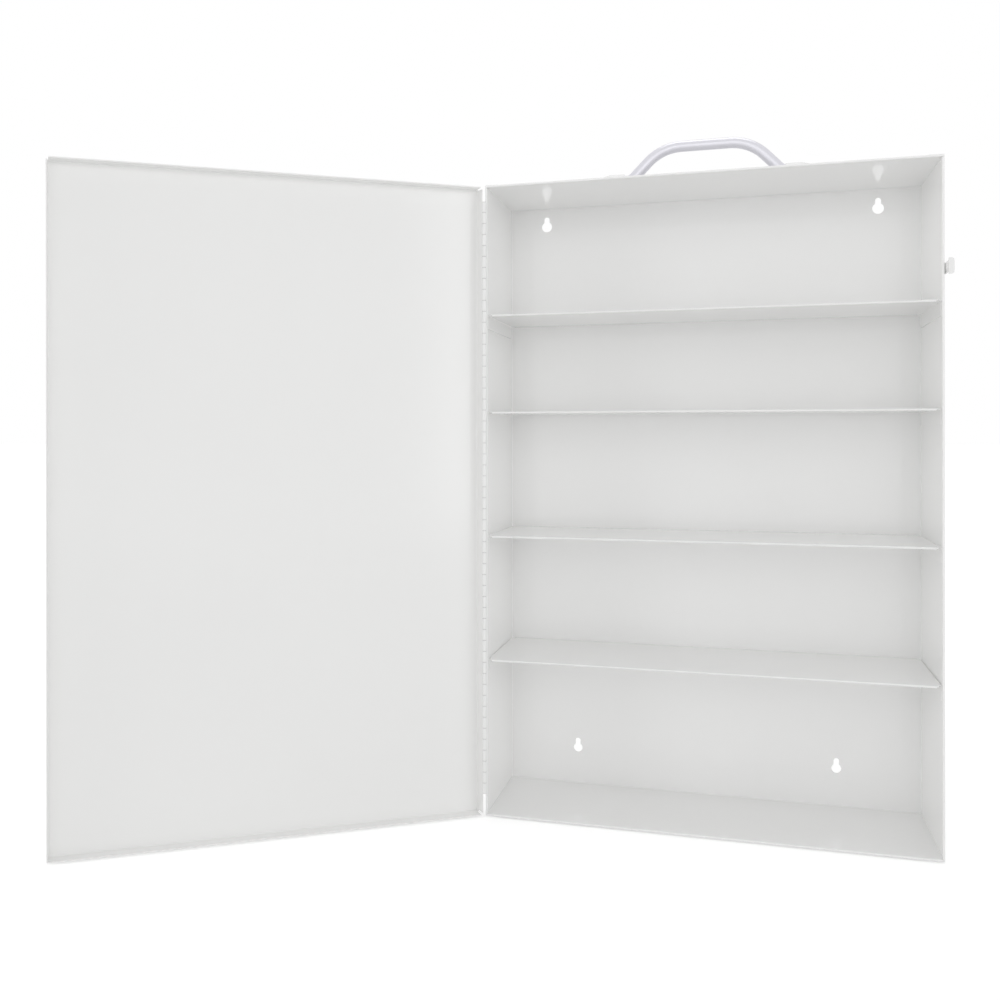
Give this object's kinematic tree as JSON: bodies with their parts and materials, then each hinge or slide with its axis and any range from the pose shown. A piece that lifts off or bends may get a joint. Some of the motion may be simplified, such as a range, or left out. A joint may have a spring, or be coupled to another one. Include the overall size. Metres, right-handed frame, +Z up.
{
  "type": "first aid cabinet",
  "caption": "Wall-hung or carried first aid cabinet of folded sheet steel with shelves, a piano-hinged door, a side snap catch and a carrying handle.",
  "frame": {"origin": "middle of the body's underside, on the plane of the lower corner tabs that it stands on", "axes": "+X to the right seen from the open front, +Y from the open front towards the wall, +Z up"},
  "size_m": [0.6848, 0.3281, 0.5947],
  "materials": {
    "white_enamel": "semi-gloss white baked enamel",
    "painted_hinge": "semi-gloss white baked enamel over the hinge",
    "pin_steel": "bright drawn wire",
    "plated_steel": "bright zinc plate",
    "spring_steel": "pale plated spring strip"
  },
  "bodies": {
    "cabinet": {"body_shell": "white_enamel", "shelf_1": "white_enamel", "shelf_2": "white_enamel", "shelf_3": "white_enamel", "shelf_4": "white_enamel", "hinge_body_leaf": "painted_hinge", "hinge_pin": "pin_steel", "handle_clip_left": "white_enamel", "handle_clip_right": "white_enamel", "catch_root": "painted_hinge"},
    "door": {"door_panel": "white_enamel", "hinge_door_leaf": "painted_hinge"},
    "handle": {"handle_bail": "plated_steel"},
    "catch": {"catch_tongue": "spring_steel"}
  },
  "joints": [
    {"name": "door_hinge", "type": "hinge", "parent": "cabinet", "child": "door", "pos_m": [-0.18485, -0.0604, 0.28], "axis": [0, 0, 1], "range_deg": [-9.5, 145.2]},
    {"name": "handle_swing", "type": "hinge", "parent": "cabinet", "child": "handle", "pos_m": [0.0022, -0.0165, 0.56273], "axis": [1, 0, 0], "range_deg": [-90, 90]},
    {"name": "catch_flex", "type": "hinge", "parent": "cabinet", "child": "catch", "pos_m": [0.1848, -0.0305, 0.4681], "axis": [0, 0, 1], "range_deg": [0, 6], "stiffness_Nm_per_rad": 3}
  ]
}
